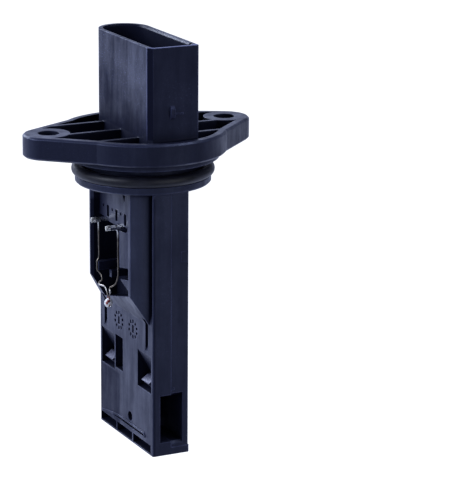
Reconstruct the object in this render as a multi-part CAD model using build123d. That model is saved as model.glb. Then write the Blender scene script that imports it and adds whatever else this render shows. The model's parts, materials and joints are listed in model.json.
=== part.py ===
from build123d import *

import math
import os

# Mass airflow sensor, plug-in type: flange and plug shroud above, flat measuring probe below.
#
# Frame: millimetres.  The origin is on the axis of the round collar, in the plane of the
# flange underside.  +Z points out of the duct, towards the plug.  X runs along the line of
# the two bolt holes.  The air enters on the -Y side and the temperature bead is on -X.

# ---- flange -------------------------------------------------------------------------
HOLE_PITCH = 51.0         # distance between the two bolt holes, along X
HOLE_Y = 3.3              # the line of the holes passes beside the collar axis
HOLE_D = 5.7
FLANGE_T = 6.0
EAR_R = 6.8               # outer radius round each hole
HUB_R = 22.3              # round middle of the flange
EDGE_R = 21.6             # the straight flange edges run at this distance from the axis
RIM_W = 2.1               # solid rim round the cored-out top
FLOOR_Z = 2.0             # floor of the cored-out top
BOSS_R = 5.6              # ring left standing round each hole
RIB_T = 1.1
RIB_YS = (-11.0, 0.0, 11.0)
EDGE_BREAK = 0.5

# ---- plug shroud --------------------------------------------------------------------
PLUG_X = 0.45             # centre line of the shroud
PLUG_HALF = 6.95          # half width, also the radius of the rounded end
PLUG_NEAR = -18.4         # flat end
PLUG_ARC_Y = 12.5         # centre of the rounded end
PLUG_TOP = 30.4
PLUG_WALL = 1.5
PLUG_FLOOR = 7.6
LEAD_IN = 0.45
CORNER = (0.8, 1.8)       # bevel of the near -X corner, along X and along Y
FAR_CORNER = 0.4

# ---- collar -------------------------------------------------------------------------
PILOT_R = 20.2
PILOT_Z = -1.5
SEAL_SECTION = 3.0
SEAL_CORE_R = 16.0        # floor of the seal groove
LIP_R = 18.05
GROOVE_Z = -6.4           # lower flank of the seal groove
LIP_Z = -8.35             # underside of the collar
SEAL_SIDES = 12           # flats round the section of the seal

# ---- probe --------------------------------------------------------------------------
FRONT_X = -5.1            # wide front face
SEAM_X = 0.2              # the housing half and the rear cover meet here
BACK_X = 5.25
HALF_Y = 17.15
END_Z = -79.9
PROBE_EDGE = 0.3
FOOT_Z = -77.9            # the cover ends here, on the housing's full-thickness foot
FOOT_OUT = 0.25           # the foot stands out behind the cover

# ---- electronics bay ----------------------------------------------------------------
BAY_FLOOR_X = -2.6
BAY_ROOF_X = 4.0
BAY_Y = 15.1
BAY_TOP = -10.2
BAY_END = -48.8
THROAT_Y = 12.5
THROAT_TOP = 3.4
THROAT_X = 3.6
BED_X = -1.1              # raised floor behind the bead window
BED_Y = (-9.2, 12.6)
BED_Z = (-44.2, -18.3)

# ---- air passages -------------------------------------------------------------------
DUCT_X = (-3.0, 3.5)
DUCT_Z = (-76.2, -64.6)
DUCT_FAR = 15.2
MOUTH_Z = (-76.3, -63.2)
MOUTH_STEP_Z = -62.8
MOUTH_LIP = 0.6           # bevel on the cover's half of the lower lip
BRANCH_TOP = -51.0
RISER_Y = (-6.3, -1.9)
RETURN_Y = (2.1, 6.9)
RETURN_END = -61.7
DIVIDER_TOP = -58.2
VENT_Z = -52.3            # top of the front vent over the return leg

# ---- guard block round the bead -----------------------------------------------------
GUARD_X = -9.8
GUARD_CX = -2.7
GUARD_R = 15.0
GUARD_Z = (-44.0, -36.3)  # foot and head of the run-out slope
WALL_BREAK = 0.7          # bevel on the inner edge of the +Y wall
PANEL_X = -7.3
PANEL_Y = 11.9
POCKET_X = -2.3
POCKET_LOW_Y = -7.5
POCKET_EDGE_Y = -0.75
SILL_SLOPE = 0.268
SLIT_Y = (12.4, 14.1)
SLIT_END = -51.6
RELIEF_Y = (14.5, 16.6)
RELIEF_DEPTH = 2.2

# ---- latches ------------------------------------------------------------------------
LATCH_Y = (7.5, 15.95)
LATCH_Z = (-62.6, -52.4)
LATCH_DEPTH = 3.7
LATCH_RUN = 6.6
HOOK_Y = (9.4, 14.1)
HOOK_TOP = -59.1
HOOK_CATCH = 0.8
HOOK_ARM = 2.0
HOOK_GAP = 0.3

# ---- lower edge ---------------------------------------------------------------------
RAIL_Z = (-77.1, -75.95)
SLOT_TOP = -75.15
CELL_WALLS = (6.2, -4.1)
CELL_RIB = 0.65
CELL_Y = (-15.6, 16.75)
CELL_DEPTH = 2.4
SOLE_T = 0.4              # thin floor under the cells
DRAIN_D = 2.7
DRAIN_AT = (-2.5, -72.9)  # y, z

# ---- mould dials --------------------------------------------------------------------
DIAL_YS = (4.6, -4.5)
DIAL_Z = -47.8
DIAL_DEPTH = 0.4
DIAL_TICKS = 10
DIAL_RING = (2.5, 2.15)   # half width and half height of the ring of ticks
TICK = (0.95, 0.75)
POINTER = (0.95, 2.2)

# ---- electronics --------------------------------------------------------------------
BOARD_T = 1.0
BOARD_Y = 13.2
BOARD_Z = (-44.5, -11.5)
PIN_T = 0.8
PIN_W = 1.5
PIN_PITCH = 4.4
PIN_COUNT = 5
PIN_MID_Y = -1.5
PIN_TIP = 21.0
PIN_FOOT = -15.6
CARRIER_HALF = 2.6
CARRIER_T = 0.8
CARRIER_Z = (-57.4, -41.0)
CHIP_SIZE = (0.4, 2.2, 2.2)
CHIP_Z = -55.1
DROP_SIZE = (0.55, 3.2, 1.8)
DROP_Z = -53.3
ADHESIVE_Y = (-8.6, 12.0)
ADHESIVE_Z = (-43.4, -21.4)
SEAM_LANE = (15.75, 16.55)
SEAM_FOOT = (-50.1, -49.3)
SEAM_HEAD = -9.7
SEAM_DEPTH = 0.7
# components on the board: centre y and z, width, length and height
SIGNAL_CHIP = (1.5, -33.5, 8.0, 8.0, 1.4)
REGULATOR = (-9.0, -26.0, 4.6, 3.0, 1.5)
CAPACITOR_A = (9.5, -28.0, 1.6, 3.2, 1.3)
CAPACITOR_B = (9.5, -34.0, 1.6, 3.2, 1.3)
CAPACITOR_C = (-8.5, -35.0, 1.3, 2.0, 1.2)

# ---- temperature bead ---------------------------------------------------------------
TAB_Y = (7.4, -2.3)
TAB_W = 2.4
TAB_Z = (-20.15, -19.55)
TAB_TIP = -11.6
TAB_CORNER = 0.6
WIRE_R = 0.22
WIRE_END_X = -10.5        # the wires start on top of the terminals
LEFT_X = -9.7             # the left wire runs down here
PEG_PASS_Y = 7.15         # and passes the peg here
LEFT_LOOP = ((-9.6, 6.35, -34.5), (-9.5, 5.2, -36.1), (-10.2, 6.2, -36.9), (-10.2, 5.9, -37.5),
             (-9.9, 2.6, -37.2))
RIGHT_X = -8.9
RIGHT_CURVE = ((-8.4, -2.3, -20.9), (-8.35, -2.3, -33.2), (-8.6, -1.75, -35.2), (-9.1, -0.9, -36.3),
               (-9.9, 0.1, -36.9), (-9.9, -0.75, -38.0))
JOIN_Z = -39.2            # both wires turn into the glass here
BEAD_R = 1.18
BEAD = (-9.9, 0.6, -41.35)
NECK = (0.8, 0.6, 0.9)    # radii and height of the glass where the wires enter
LEG_Y = 0.42              # the two wires enter the glass at this distance from its centre
LEG_TOP = 2.0             # they run straight from this far above it
LEG_FOOT = 0.35           # to this far below it
PEG_TIP = -10.1
PEG_Y = (6.5, 7.9)
PEG_Z = (-33.7, -31.3)
FORK_TIP = -7.3
FORK_Y = (4.4, 5.6)
FORK_Z = (-35.5, -33.6)


# ---- helpers ------------------------------------------------------------------------
def block(x, y, z):
    """Box from three (low, high) ranges."""
    size = [hi - lo for lo, hi in (x, y, z)]
    mid = [(hi + lo) / 2 for lo, hi in (x, y, z)]
    return Pos(*mid) * Box(*size)


def outline(points):
    """Closed face, always wound the same way round."""
    area = sum(a[0] * b[1] - b[0] * a[1] for a, b in zip(points, points[1:] + points[:1]))
    return Polygon(*(points if area > 0 else points[::-1]), align=None)


def prism_x(points, x0, x1):
    """(y, z) outline run from x0 to x1."""
    return extrude(Plane.YZ.offset(x0) * outline(points), amount=x1 - x0)


def prism_y(points, y0, y1):
    """(x, z) outline run from y0 to y1."""
    return extrude(Plane.XZ.offset(-y1) * outline(points), amount=y1 - y0)


def post(r, z0, z1, x=0.0, y=0.0):
    """Upright cylinder."""
    return Pos(x, y, (z0 + z1) / 2) * Cylinder(r, z1 - z0)


def pin_x(r, x0, x1, y, z):
    """Cylinder along X."""
    return Pos((x0 + x1) / 2, y, z) * Rot(0, 90, 0) * Cylinder(r, x1 - x0)


def centred(x0, y, z, size_x, size_y, size_z):
    """Box that stands on x0, centred on (y, z)."""
    return block((x0, x0 + size_x), (y - size_y / 2, y + size_y / 2), (z - size_z / 2, z + size_z / 2))


def both(y):
    """The same range on the +Y and the -Y side."""
    return (y, (-y[1], -y[0]))


# ---- flange -------------------------------------------------------------------------
def flange_face(inset=0.0):
    """Rounded rhombus: two ears, a round middle and the straight edges between them."""
    ear = EAR_R - inset
    hub = EDGE_R - inset
    face = Circle(HUB_R - inset)
    for cx in (-HOLE_PITCH / 2, HOLE_PITCH / 2):
        dist = math.hypot(cx, HOLE_Y)
        toward = math.atan2(-HOLE_Y, -cx)
        swing = math.acos((ear - hub) / dist)
        ring = []
        for side in (1, -1):
            nx, ny = math.cos(toward + side * swing), math.sin(toward + side * swing)
            pair = [(cx + ear * nx, HOLE_Y + ear * ny), (hub * nx, hub * ny)]
            ring += pair if side > 0 else pair[::-1]
        face += Pos(cx, HOLE_Y) * Circle(ear)
        face += outline(ring)
    return face


def plug_face(inset=0.0, corner=CORNER):
    """D outline of the shroud: flat at -Y, half round at +Y."""
    half = PLUG_HALF - inset
    near = PLUG_NEAR + inset
    cut_x, cut_y = corner
    face = outline([
        (PLUG_X - half + cut_x, near),
        (PLUG_X + half - FAR_CORNER, near),
        (PLUG_X + half, near + FAR_CORNER),
        (PLUG_X + half, PLUG_ARC_Y),
        (PLUG_X - half, PLUG_ARC_Y),
        (PLUG_X - half, near + cut_y),
    ])
    return face + Pos(PLUG_X, PLUG_ARC_Y) * Circle(half)


def flange():
    """Flange plate, cored out from above between rim, hole bosses and ribs."""
    plate = extrude(flange_face(), amount=FLANGE_T)
    for end in (0, -1):
        plate = chamfer(plate.faces().sort_by(Axis.Z)[end].outer_wire().edges(), EDGE_BREAK)
    core = Pos(0, 0, FLOOR_Z) * extrude(flange_face(RIM_W), amount=FLANGE_T)
    for cx in (-HOLE_PITCH / 2, HOLE_PITCH / 2):
        core -= post(BOSS_R, 0, FLANGE_T + 4, cx, HOLE_Y)
    for y in RIB_YS:
        core -= block((-40, 40), (y - RIB_T / 2, y + RIB_T / 2), (0, FLANGE_T + 4))
    plate -= core
    for cx in (-HOLE_PITCH / 2, HOLE_PITCH / 2):
        plate -= post(HOLE_D / 2, -1, FLANGE_T + 1, cx, HOLE_Y)
    return plate


def shroud():
    """Plug shroud with lead-in edge, keyway and latch nub."""
    wall = Pos(0, 0, FLOOR_Z) * extrude(plug_face(), amount=PLUG_TOP - FLOOR_Z)
    wall -= Pos(0, 0, PLUG_FLOOR) * extrude(plug_face(PLUG_WALL, (FAR_CORNER, FAR_CORNER)), amount=PLUG_TOP)
    wall = chamfer(wall.faces().sort_by(Axis.Z)[-1].inner_wires()[0].edges(), LEAD_IN)
    inner = PLUG_X + PLUG_HALF - PLUG_WALL
    wall -= block((inner - 0.2, inner + 0.9), (-15.9, -15.0), (PLUG_TOP - 7, PLUG_TOP + 1))
    nub = [(PLUG_NEAR + 0.3, 11.5), (PLUG_NEAR - 0.35, 11.9), (PLUG_NEAR - 0.75, 12.9),
           (PLUG_NEAR - 0.7, 14.4), (PLUG_NEAR + 0.3, 15.4)]
    wall += prism_x(nub, -0.85, 0.45)
    wall += block((0.45, 2.9), (PLUG_NEAR - 0.15, PLUG_NEAR + 0.3), (12.8, 13.2))
    return wall


def collar():
    """Locating step, seal groove and lip below the flange."""
    ring = post(PILOT_R, PILOT_Z, 0)
    ring += post(SEAL_CORE_R, LIP_Z, PILOT_Z)
    lip = post(LIP_R, LIP_Z, GROOVE_Z)
    lip = chamfer(lip.faces().sort_by(Axis.Z)[0].outer_wire().edges(), 0.4)
    return ring + lip


# ---- probe, housing half ------------------------------------------------------------
def guard_outline(z0, z1):
    """Guard block: round sided, flat in front, from z0 up to z1."""
    drum = post(GUARD_R, z0, z1, GUARD_CX)
    return drum & block((GUARD_X, FRONT_X + 0.5), (-20, 20), (z0, z1))


def sill_z(y):
    """Height of the sloping sill below the bead window."""
    return GUARD_Z[1] - SILL_SLOPE * (y + PANEL_Y)


def guard():
    """Block in front of the probe that shields the temperature bead on both sides."""
    body = guard_outline(GUARD_Z[0], LIP_Z)
    slope = [(GUARD_X - 1, GUARD_Z[1]), (GUARD_X, GUARD_Z[1]), (FRONT_X, GUARD_Z[0]),
             (FRONT_X, GUARD_Z[0] - 1), (GUARD_X - 1, GUARD_Z[0] - 1)]
    body -= prism_y(slope, -20, 20)
    recess = [(-PANEL_Y, LIP_Z), (PANEL_Y, LIP_Z), (PANEL_Y, sill_z(PANEL_Y)),
              (-PANEL_Y, sill_z(-PANEL_Y))]
    body -= prism_x(recess, GUARD_X - 1, PANEL_X)
    bevel = outline([(GUARD_X, PANEL_Y), (GUARD_X, PANEL_Y + WALL_BREAK), (GUARD_X + WALL_BREAK, PANEL_Y)])
    return body - Pos(0, 0, GUARD_Z[0]) * extrude(bevel, amount=LIP_Z - GUARD_Z[0])


def bead_window():
    """Deep pocket behind the bead, with a notch for each terminal, as a cutting body."""
    low = POCKET_LOW_Y
    head = TAB_Z[1] + 0.05
    lintel = TAB_Z[0] - 0.15
    shape = [(PANEL_Y, head), (TAB_Y[0] - TAB_W / 2, head), (TAB_Y[0] - TAB_W / 2, lintel),
             (TAB_Y[1] + TAB_W, lintel), (TAB_Y[1] + TAB_W, head), (-5.9, head), (-5.9, lintel),
             (-5.0, lintel - 0.7), (POCKET_EDGE_Y, lintel - 1.0), (POCKET_EDGE_Y, -31.4),
             (low + 1.5, -30.4), (low, -31.6), (low, sill_z(low)), (PANEL_Y, sill_z(PANEL_Y))]
    pocket = prism_x(shape, GUARD_X - 1, POCKET_X)
    gusset = [(POCKET_EDGE_Y - 0.35, -34.6), (low, -33.4), (low, -37.1)]
    pocket -= prism_x(gusset, POCKET_X - 0.1, PANEL_X + 0.1)
    return pocket


def panel_marks():
    """Slots, round dimples and the notch above the bead window, as a cutting body."""
    marks = []
    for y in (6.6, 1.05, -4.5):
        marks.append(block((PANEL_X - 1, PANEL_X + 1.6), (y - 0.65, y + 0.65), (-19.1, -16.0)))
    for y in (9.6, 3.8, -1.7):
        marks.append(pin_x(0.45, PANEL_X - 1, PANEL_X + 0.8, y, -16.6))
    notch = [(-3.0, -11.0), (-4.6, -11.0), (-4.0, -12.9)]
    marks.append(prism_x(notch, PANEL_X - 1, PANEL_X + 0.6))
    return marks


def window_posts():
    """Wire peg and forked locating post inside the bead window."""
    peg = block((PEG_TIP, POCKET_X + 0.1), PEG_Y, PEG_Z)
    nick = (PEG_Z[0] + 0.8, PEG_Z[1] - 0.8)
    peg -= block((PEG_TIP - 1, PEG_TIP + 0.35), (PEG_Y[1] - 0.5, PEG_Y[1] + 1), nick)
    fork = block((FORK_TIP, POCKET_X + 0.1), FORK_Y, FORK_Z)
    top = FORK_Z[1] + 0.1
    vee = [(FORK_Y[0] + 0.2, top), (FORK_Y[1] - 0.2, top), (sum(FORK_Y) / 2, top - 1)]
    fork -= prism_x(vee, FORK_TIP - 0.1, FORK_TIP + 2)
    return [peg, fork]


def side_grooves():
    """Relief beside the guard walls and the short slits below them, as cutting bodies."""
    cuts = []
    deep = FRONT_X + RELIEF_DEPTH
    relief = [(FRONT_X - 6, LIP_Z), (deep, LIP_Z), (deep, -37.0),
              (FRONT_X, GUARD_Z[0] + 0.4), (FRONT_X - 6, GUARD_Z[0] + 0.4)]
    slit = [(FRONT_X - 1, GUARD_Z[0] + 1.6), (FRONT_X + 1.5, GUARD_Z[0] + 1.6),
            (FRONT_X + 1.5, SLIT_END + 3.4), (FRONT_X, SLIT_END), (FRONT_X - 1, SLIT_END)]
    for y in both(RELIEF_Y):
        cuts.append(prism_y(relief, *y))
    for y in both(SLIT_Y):
        cuts.append(prism_y(slit, *y))
    return cuts


def latch_recesses():
    """Lead-in slopes, landing faces and arm openings for the two cover hooks."""
    cuts = []
    land = FRONT_X + LATCH_DEPTH
    slope = [(FRONT_X - 1, LATCH_Z[1]), (FRONT_X, LATCH_Z[1]), (land, LATCH_Z[1] - LATCH_RUN),
             (land, LATCH_Z[0]), (FRONT_X - 1, LATCH_Z[0])]
    for y in both(LATCH_Y):
        cuts.append(prism_y(slope, *y))
    arm_low = HOOK_TOP - HOOK_CATCH - HOOK_ARM
    for y in both(HOOK_Y):
        cuts.append(block((land - 0.5, SEAM_X + 1), (y[0] - HOOK_GAP, y[1] + HOOK_GAP),
                          (arm_low - HOOK_GAP, HOOK_TOP - HOOK_CATCH + 0.1)))
    return cuts


def passages(x0, x1):
    """Main duct, riser and return leg between x0 and x1."""
    main = [(-HALF_Y - 1, MOUTH_Z[0]), (-HALF_Y - 1, MOUTH_Z[1]), (-15.8, MOUTH_Z[1]),
            (-13.6, DUCT_Z[1]), (DUCT_FAR - 2.5, DUCT_Z[1]), (DUCT_FAR, DUCT_Z[1] - 2.5),
            (DUCT_FAR, DUCT_Z[0]), (-13.6, DUCT_Z[0])]
    void = prism_x(main, x0, x1)
    branch = [(RISER_Y[0], DUCT_Z[1] - 1), (RISER_Y[0], BRANCH_TOP - 2), (RISER_Y[0] + 2, BRANCH_TOP),
              (RETURN_Y[1] - 2, BRANCH_TOP), (RETURN_Y[1], BRANCH_TOP - 2),
              (RETURN_Y[1], RETURN_END), (RETURN_Y[0], RETURN_END), (RETURN_Y[0], DIVIDER_TOP - 1),
              (RETURN_Y[0] - 1, DIVIDER_TOP), (RISER_Y[1] + 1, DIVIDER_TOP),
              (RISER_Y[1], DIVIDER_TOP - 1), (RISER_Y[1], DUCT_Z[1] - 1)]
    return void + prism_x(branch, x0, x1)


def front_openings():
    """Vent over the return leg, drain hole, long outlet slot and bottom cells."""
    cuts = [block((FRONT_X - 1, DUCT_X[0] + 0.5), RETURN_Y, (RETURN_END, VENT_Z))]
    cuts.append(pin_x(DRAIN_D / 2, FRONT_X - 1, DUCT_X[0] + 0.5, *DRAIN_AT))
    slot = [(-12.2, RAIL_Z[1]), (-11.4, SLOT_TOP), (4.2, SLOT_TOP), (10.8, RAIL_Z[1])]
    cuts.append(prism_x(slot, FRONT_X - 1, DUCT_X[0]))
    walls = [CELL_Y[1]] + [w for y in CELL_WALLS for w in (y + CELL_RIB / 2, y - CELL_RIB / 2)]
    walls.append(CELL_Y[0])
    height = (END_Z + SOLE_T, RAIL_Z[0])
    for high, low in zip(walls[::2], walls[1::2]):
        cuts.append(block((FRONT_X - 1, FRONT_X + CELL_DEPTH), (low, high), height))
    return cuts


def slot_bead():
    """Thin raised bead along the upper edge of the outlet slot."""
    edge = [(-12.3, RAIL_Z[1]), (-11.4, SLOT_TOP), (4.2, SLOT_TOP), (10.8, RAIL_Z[1]),
            (15.8, RAIL_Z[1] - 0.9)]
    top = [(y + 0.15, z + 0.5) for y, z in reversed(edge)]
    return prism_x(edge + top, FRONT_X - 0.25, FRONT_X + 0.3)


def date_dials():
    """Two blank mould dials: a ring of ticks and a pointer, sunk into the front face."""
    cuts = []
    x = (FRONT_X - 1, FRONT_X + DIAL_DEPTH)
    for y in DIAL_YS:
        cuts.append(block(x, (y - POINTER[0] / 2, y + POINTER[0] / 2),
                          (DIAL_Z - POINTER[1] / 2, DIAL_Z + POINTER[1] / 2)))
        for k in range(DIAL_TICKS):
            a = 2 * math.pi * (k + 0.5) / DIAL_TICKS
            place = Pos(FRONT_X, y + DIAL_RING[0] * math.cos(a), DIAL_Z + DIAL_RING[1] * math.sin(a))
            cuts.append(place * Rot(math.degrees(a), 0, 0) * Box(2 * DIAL_DEPTH, *TICK))
    return cuts


def housing():
    """One moulding: shroud, flange, collar, guard block and the front half of the probe."""
    body = flange() + shroud() + collar()
    half = block((FRONT_X, SEAM_X), (-HALF_Y, HALF_Y), (END_Z, LIP_Z))
    half += block((FRONT_X, BACK_X + FOOT_OUT), (-HALF_Y, HALF_Y), (END_Z, FOOT_Z))
    corners = half.edges().filter_by(Axis.Z)
    half = chamfer(corners.sort_by(Axis.X)[:2] + corners.sort_by(Axis.X)[-2:], PROBE_EDGE)
    for cut in side_grooves()[:2]:
        half -= cut
    half += guard()
    for cut in side_grooves()[2:]:
        half -= cut
    half -= bead_window()
    for cut in panel_marks():
        half -= cut
    for cut in latch_recesses() + front_openings() + date_dials():
        half -= cut
    half += slot_bead()
    half -= passages(DUCT_X[0], SEAM_X + 1)
    bay = block((BAY_FLOOR_X, SEAM_X + 1), (-BAY_Y, BAY_Y), (BAY_END, BAY_TOP))
    bay -= block((BAY_FLOOR_X - 1, BED_X), BED_Y, BED_Z)
    half -= bay
    half -= seam_groove(SEAM_X + 1)
    body += half
    throat = block((BAY_FLOOR_X, THROAT_X), (-THROAT_Y, THROAT_Y), (LIP_Z - 0.1, THROAT_TOP))
    body -= throat
    body -= block((BAY_FLOOR_X, SEAM_X + 0.1), (-THROAT_Y, THROAT_Y), (BAY_TOP - 1, LIP_Z + 1))
    for item in window_posts():
        body += item
    for pin in pins():
        body -= pin
    for tab in tabs():
        body -= tab
    return body


def seam_groove(x1=SEAM_X):
    """U-shaped groove in the seam face that the sealing adhesive fills."""
    x = (SEAM_X - SEAM_DEPTH, x1)
    loop = block(x, (-SEAM_LANE[1], SEAM_LANE[1]), SEAM_FOOT)
    for y in both(SEAM_LANE):
        loop += block(x, y, (SEAM_FOOT[0], SEAM_HEAD))
    return loop


# ---- rear cover ---------------------------------------------------------------------
def hook(y):
    """Snap arm with a barbed nose."""
    land = FRONT_X + LATCH_DEPTH
    catch = HOOK_TOP - HOOK_CATCH
    low = catch - HOOK_ARM
    nose = [(FRONT_X + 0.15, HOOK_TOP - 1.3), (FRONT_X + 1.95, HOOK_TOP), (land, HOOK_TOP),
            (land, catch), (BAY_ROOF_X + 0.5, catch), (BAY_ROOF_X + 0.5, low), (FRONT_X + 1.7, low)]
    return prism_y(nose, *y)


def rear_cover():
    """Moulded back half of the probe, glued along the seam and latched by two hooks."""
    body = block((SEAM_X, BACK_X), (-HALF_Y, HALF_Y), (FOOT_Z, LIP_Z))
    body = chamfer(body.edges().filter_by(Axis.Z).sort_by(Axis.X)[-2:], PROBE_EDGE)
    body -= block((SEAM_X - 1, BAY_ROOF_X), (-BAY_Y, BAY_Y), (BAY_END, BAY_TOP))
    body -= block((SEAM_X - 1, SEAM_X + 1.7), (-THROAT_Y, THROAT_Y), (BAY_TOP - 1, LIP_Z + 1))
    body -= passages(SEAM_X - 1, DUCT_X[1])
    body -= block((SEAM_X - 1, DUCT_X[1]), (-HALF_Y - 1, -15.9), (MOUTH_Z[1] - 1, MOUTH_STEP_Z))
    lip = [(-HALF_Y - 0.1, MOUTH_Z[0] - MOUTH_LIP - 0.1), (-HALF_Y - 0.1, MOUTH_Z[0] + 0.1),
           (-HALF_Y + MOUTH_LIP + 0.1, MOUTH_Z[0] + 0.1)]
    body -= prism_x(lip, SEAM_X - 1, DUCT_X[1])
    body -= block((SEAM_X - 1, SEAM_X + CARRIER_T), (-CARRIER_HALF, CARRIER_HALF),
                  (BRANCH_TOP - 0.5, BAY_END + 0.5))
    for y in both(HOOK_Y):
        body += hook(y)
    for z in ((-46.5, -14.0), (-74.0, -52.5)):
        body -= block((BACK_X - 0.45, BACK_X + 1), (-13.5, 13.5), z)
    for z in (-25.0, -36.0, -63.0):
        body += block((BACK_X - 0.6, BACK_X), (-13.5, 13.5), (z - 0.5, z + 0.5))
    body += block((2.9, 5.0 - 0.1), (-HALF_Y - 0.12, -HALF_Y + 0.3), (-27.0, -24.2))
    body += block((SEAM_X + 0.2, SEAM_X + 0.9), (-HALF_Y - 0.15, -HALF_Y + 0.3), (-61.9, -61.2))
    return body


# ---- seal ---------------------------------------------------------------------------
def o_ring():
    """Round-section seal on the floor and the lower flank of its groove."""
    r = SEAL_SECTION / 2
    section = Pos(SEAL_CORE_R + r, GROOVE_Z + r) * RegularPolygon(
        r, SEAL_SIDES, major_radius=False, rotation=180 / SEAL_SIDES)
    return revolve(Plane.XZ * section, axis=Axis.Z)


# ---- electronics --------------------------------------------------------------------
def pins():
    """Plug blades, moulded into the housing and soldered to the board."""
    out = []
    for k in range(PIN_COUNT):
        y = PIN_MID_Y + (k - (PIN_COUNT - 1) / 2) * PIN_PITCH
        blade = block((SEAM_X, SEAM_X + PIN_T), (y - PIN_W / 2, y + PIN_W / 2), (PIN_FOOT, PIN_TIP))
        out.append(chamfer(blade.faces().sort_by(Axis.Z)[-1].edges(), 0.3))
    return out


def tabs():
    """Two flat terminals that carry the temperature bead, moulded through the front wall."""
    out = []
    for y in TAB_Y:
        blade = block((TAB_TIP, SEAM_X + 0.6), (y - TAB_W / 2, y + TAB_W / 2), TAB_Z)
        out.append(chamfer(blade.faces().sort_by(Axis.X)[0].edges().filter_by(Axis.Z), TAB_CORNER))
    return out


def board():
    """Circuit board with the two terminal slots."""
    plate = block((SEAM_X - BOARD_T, SEAM_X), (-BOARD_Y, BOARD_Y), BOARD_Z)
    plate = chamfer(plate.edges().filter_by(Axis.X), 0.8)
    for tab in tabs():
        plate -= tab
    return plate


def carrier():
    """Narrow carrier that reaches from the board into the measuring branch."""
    plate = block((SEAM_X, SEAM_X + CARRIER_T), (-CARRIER_HALF, CARRIER_HALF), CARRIER_Z)
    plate = chamfer(plate.edges().filter_by(Axis.X).sort_by(Axis.Z)[:2], 0.8)
    return plate - chip()


def chip():
    """Heated flow-sensing chip, flush in the carrier."""
    return centred(SEAM_X + CARRIER_T - CHIP_SIZE[0], 0, CHIP_Z, *CHIP_SIZE)


def bond_cover():
    """Drop of encapsulant over the chip connections."""
    drop = centred(SEAM_X + CARRIER_T, 0, DROP_Z, *DROP_SIZE)
    return chamfer(drop.faces().sort_by(Axis.X)[-1].edges(), DROP_SIZE[0] / 2)


def on_board(y, z, size_y, size_z, height):
    """Component body standing on the board."""
    return centred(SEAM_X, y, z, height, size_y, size_z)


def board_bed():
    """Thin bed of adhesive between board and housing."""
    return block((BED_X, SEAM_X - BOARD_T), ADHESIVE_Y, ADHESIVE_Z)


# ---- temperature bead ---------------------------------------------------------------
def wire(points):
    """Stiff round wire, mitred at its bends, down to its foot inside the bead."""
    path = Polyline(*points)
    start = Plane(origin=points[0], z_dir=path % 0)
    return sweep(start * Circle(WIRE_R), path=path, transition=Transition.RIGHT)


def hook_over(y, leave_x):
    """Points of a wire's start: over the tip of a terminal and back below it as far as leave_x."""
    top, under = TAB_Z[1] + WIRE_R, TAB_Z[0] - WIRE_R
    front = TAB_TIP - WIRE_R
    return [(WIRE_END_X, y, top), (front, y, top), (front, y, under), (leave_x, y, under)]


def left_path():
    """From the +Y terminal down, round the end of the peg and by a loop to the bead."""
    past_peg = PEG_TIP - WIRE_R
    leg_y = BEAD[1] + LEG_Y
    return [
        *hook_over(TAB_Y[0], LEFT_X),
        (LEFT_X, PEG_PASS_Y, PEG_Z[1] + 0.8),
        (past_peg, PEG_PASS_Y, PEG_Z[1] + 0.15),
        (past_peg, PEG_PASS_Y, PEG_Z[0] - 0.15),
        *LEFT_LOOP,
        (BEAD[0], leg_y, JOIN_Z),
        (BEAD[0], leg_y, BEAD[2] - LEG_FOOT),
    ]


def right_path():
    """From the -Y terminal down and round to the bead."""
    leg_y = BEAD[1] - LEG_Y
    return [
        *hook_over(TAB_Y[1], RIGHT_X),
        *RIGHT_CURVE,
        (BEAD[0], leg_y, JOIN_Z),
        (BEAD[0], leg_y, BEAD[2] - LEG_FOOT),
    ]


def leg(path):
    """Straight end of a wire, as the glass closes round it."""
    x, y, foot = path[-1]
    return post(WIRE_R, foot, BEAD[2] + LEG_TOP, x, y)


def bead_core():
    """Sensing element between the two wires."""
    x, y, z = BEAD
    return block((x - 0.3, x + 0.3), (y - LEG_Y + WIRE_R, y + LEG_Y - WIRE_R), (z - 0.45, z + 0.25))


def bead():
    """Glass drop that holds the wires and the sensing element."""
    x, y, z = BEAD
    drop = Pos(x, y, z) * Sphere(BEAD_R)
    drop += Pos(x, y, z + BEAD_R + 0.15) * Cone(*NECK)
    for path in (left_path(), right_path()):
        drop -= leg(path)
    return drop - bead_core()


def save(name, shape):
    """One STEP file for each part."""
    export_step(shape, os.path.join("parts", name + ".step"))


def main():
    os.makedirs("parts", exist_ok=True)
    save("housing", housing())
    save("rear_cover", rear_cover())
    save("o_ring", o_ring())
    save("circuit_board", board())
    save("board_adhesive", board_bed())
    save("seam_adhesive", seam_groove())
    save("sensor_carrier", carrier())
    save("sensor_chip", chip())
    save("bond_cover", bond_cover())
    save("signal_chip", on_board(*SIGNAL_CHIP))
    save("regulator", on_board(*REGULATOR))
    save("capacitor_a", on_board(*CAPACITOR_A))
    save("capacitor_b", on_board(*CAPACITOR_B))
    save("capacitor_c", on_board(*CAPACITOR_C))
    for k, pin in enumerate(pins()):
        save("plug_pin_%d" % (k + 1), pin)
    for name, tab in zip(("bead_terminal_left", "bead_terminal_right"), tabs()):
        save(name, tab)
    save("bead_wire_left", wire(left_path()))
    save("bead_wire_right", wire(right_path()))
    save("bead_glass", bead())
    save("bead_core", bead_core())


main()
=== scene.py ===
import json
import math

import bmesh
import bpy
from mathutils import Matrix, Vector, noise


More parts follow.
